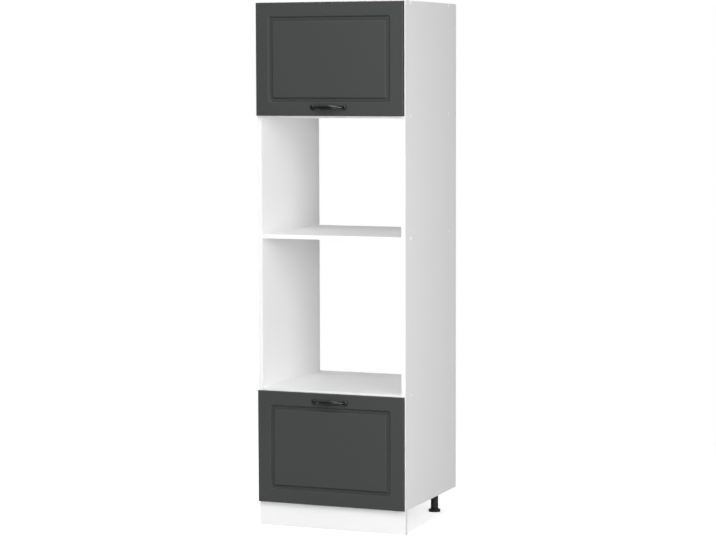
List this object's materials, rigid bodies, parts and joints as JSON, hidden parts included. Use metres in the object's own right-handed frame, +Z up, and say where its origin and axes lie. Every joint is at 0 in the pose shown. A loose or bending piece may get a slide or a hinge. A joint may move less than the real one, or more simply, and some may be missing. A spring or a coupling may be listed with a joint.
{
  "type": "microwave cabinet",
  "caption": "Tall kitchen cabinet for a built-in microwave and oven: white carcass with open niches, framed lift-up flap above, framed drawer below, bow handles, plinth on levelling feet.",
  "frame": {"origin": "centre of the bounding box on the floor under the feet", "axes": "+X to the right seen from the front, -Y out of the fronts, +Z up"},
  "size_m": [0.6036, 0.6106, 2],
  "materials": {
    "white_board": "white melamine, satin",
    "white_hardboard": "white lacquered hardboard",
    "anthracite_front": "matt anthracite film on fibreboard",
    "black_handle": "satin black",
    "white_plastic": "satin",
    "clear_plastic": "soft, translucent",
    "black_plastic": "moulded",
    "zinc_steel": "zinc plated",
    "cast_zinc": "die cast",
    "grey_tube": "satin grey",
    "chrome_rod": "polished"
  },
  "bodies": {
    "carcass": {"left_side": "white_board", "right_side": "white_board", "top_panel": "white_board", "upper_shelf": "white_board", "middle_shelf": "white_board", "lower_shelf": "white_board", "bottom_panel": "white_board", "upper_back": "white_hardboard", "lower_back": "white_hardboard", "back_screws": "zinc_steel", "carcass_screws": "zinc_steel", "screw_caps": "white_plastic", "bottom_cams": "cast_zinc", "cam_bolts": "zinc_steel", "plinth": "white_board", "plinth_clips": "black_plastic", "front_left_leg": "black_plastic", "front_right_leg": "black_plastic", "rear_left_leg": "black_plastic", "rear_right_leg": "black_plastic", "fitting_screws": "zinc_steel", "hinge_plates": "zinc_steel", "left_hinge_arm": "zinc_steel", "right_hinge_arm": "zinc_steel", "left_strut_anchor": "zinc_steel", "right_strut_anchor": "zinc_steel", "left_runner_outer": "zinc_steel", "right_runner_outer": "zinc_steel", "bumpers": "clear_plastic", "wall_bracket": "zinc_steel"},
    "flap": {"flap_front": "anthracite_front", "flap_handle": "black_handle", "flap_handle_screws": "zinc_steel", "left_hinge_cup": "zinc_steel", "right_hinge_cup": "zinc_steel", "flap_fitting_screws": "zinc_steel", "left_strut_bracket": "zinc_steel", "right_strut_bracket": "zinc_steel"},
    "left_strut_tube": {"left_strut_cylinder": "grey_tube"},
    "right_strut_tube": {"right_strut_cylinder": "grey_tube"},
    "left_strut_piston": {"left_strut_rod": "chrome_rod"},
    "right_strut_piston": {"right_strut_rod": "chrome_rod"},
    "drawer": {"drawer_front": "anthracite_front", "drawer_handle": "black_handle", "drawer_handle_screws": "zinc_steel", "drawer_left_side": "white_board", "drawer_right_side": "white_board", "drawer_back": "white_board", "drawer_inner_front": "white_board", "drawer_bottom": "white_hardboard", "left_runner_inner": "zinc_steel", "right_runner_inner": "zinc_steel", "drawer_box_screws": "zinc_steel", "drawer_fitting_screws": "zinc_steel"},
    "left_runner_carriage": {"left_runner_middle": "zinc_steel"},
    "right_runner_carriage": {"right_runner_middle": "zinc_steel"},
    "front_left_levelling_foot": {"front_left_foot": "black_plastic"},
    "front_right_levelling_foot": {"front_right_foot": "black_plastic"},
    "rear_left_levelling_foot": {"rear_left_foot": "black_plastic"},
    "rear_right_levelling_foot": {"rear_right_foot": "black_plastic"}
  },
  "joints": [
    {"name": "flap_hinge", "type": "hinge", "parent": "carcass", "child": "flap", "pos_m": [0, -0.2713, 1.9907], "axis": [-1, 0, 0], "range_deg": [0, 90]},
    {"name": "drawer_slide", "type": "slide", "parent": "carcass", "child": "drawer", "axis": [0, -1, 0], "range_m": [0, 0.45]},
    {"name": "left_strut_swing", "type": "hinge", "parent": "carcass", "child": "left_strut_tube", "pos_m": [-0.268, -0.1733, 1.788], "axis": [1, 0, 0], "range_deg": [0, 17.6]},
    {"name": "left_strut_stroke", "type": "slide", "parent": "left_strut_tube", "child": "left_strut_piston", "axis": [0, -0.3764, 0.9265], "range_m": [0, 0.04784]},
    {"name": "right_strut_swing", "type": "hinge", "parent": "carcass", "child": "right_strut_tube", "pos_m": [0.268, -0.1733, 1.788], "axis": [1, 0, 0], "range_deg": [0, 17.6]},
    {"name": "right_strut_stroke", "type": "slide", "parent": "right_strut_tube", "child": "right_strut_piston", "axis": [0, -0.3764, 0.9265], "range_m": [0, 0.04784]},
    {"name": "left_runner_extension", "type": "slide", "parent": "carcass", "child": "left_runner_carriage", "axis": [0, -1, 0], "range_m": [0, 0.225]},
    {"name": "right_runner_extension", "type": "slide", "parent": "carcass", "child": "right_runner_carriage", "axis": [0, -1, 0], "range_m": [0, 0.225]},
    {"name": "front_left_foot_level", "type": "slide", "parent": "carcass", "child": "front_left_levelling_foot", "axis": [0, 0, -1], "range_m": [0, 0.025]},
    {"name": "front_right_foot_level", "type": "slide", "parent": "carcass", "child": "front_right_levelling_foot", "axis": [0, 0, -1], "range_m": [0, 0.025]},
    {"name": "rear_left_foot_level", "type": "slide", "parent": "carcass", "child": "rear_left_levelling_foot", "axis": [0, 0, -1], "range_m": [0, 0.025]},
    {"name": "rear_right_foot_level", "type": "slide", "parent": "carcass", "child": "rear_right_levelling_foot", "axis": [0, 0, -1], "range_m": [0, 0.025]}
  ],
  "couplings": [
    {"joint": "left_strut_swing", "follows": "flap_hinge", "ratio": 0.19503},
    {"joint": "left_strut_stroke", "follows": "flap_hinge", "m_per_rad": 0.030394},
    {"joint": "right_strut_swing", "follows": "flap_hinge", "ratio": 0.19503},
    {"joint": "right_strut_stroke", "follows": "flap_hinge", "m_per_rad": 0.030394},
    {"joint": "left_runner_extension", "follows": "drawer_slide", "ratio": 0.5},
    {"joint": "right_runner_extension", "follows": "drawer_slide", "ratio": 0.5}
  ]
}
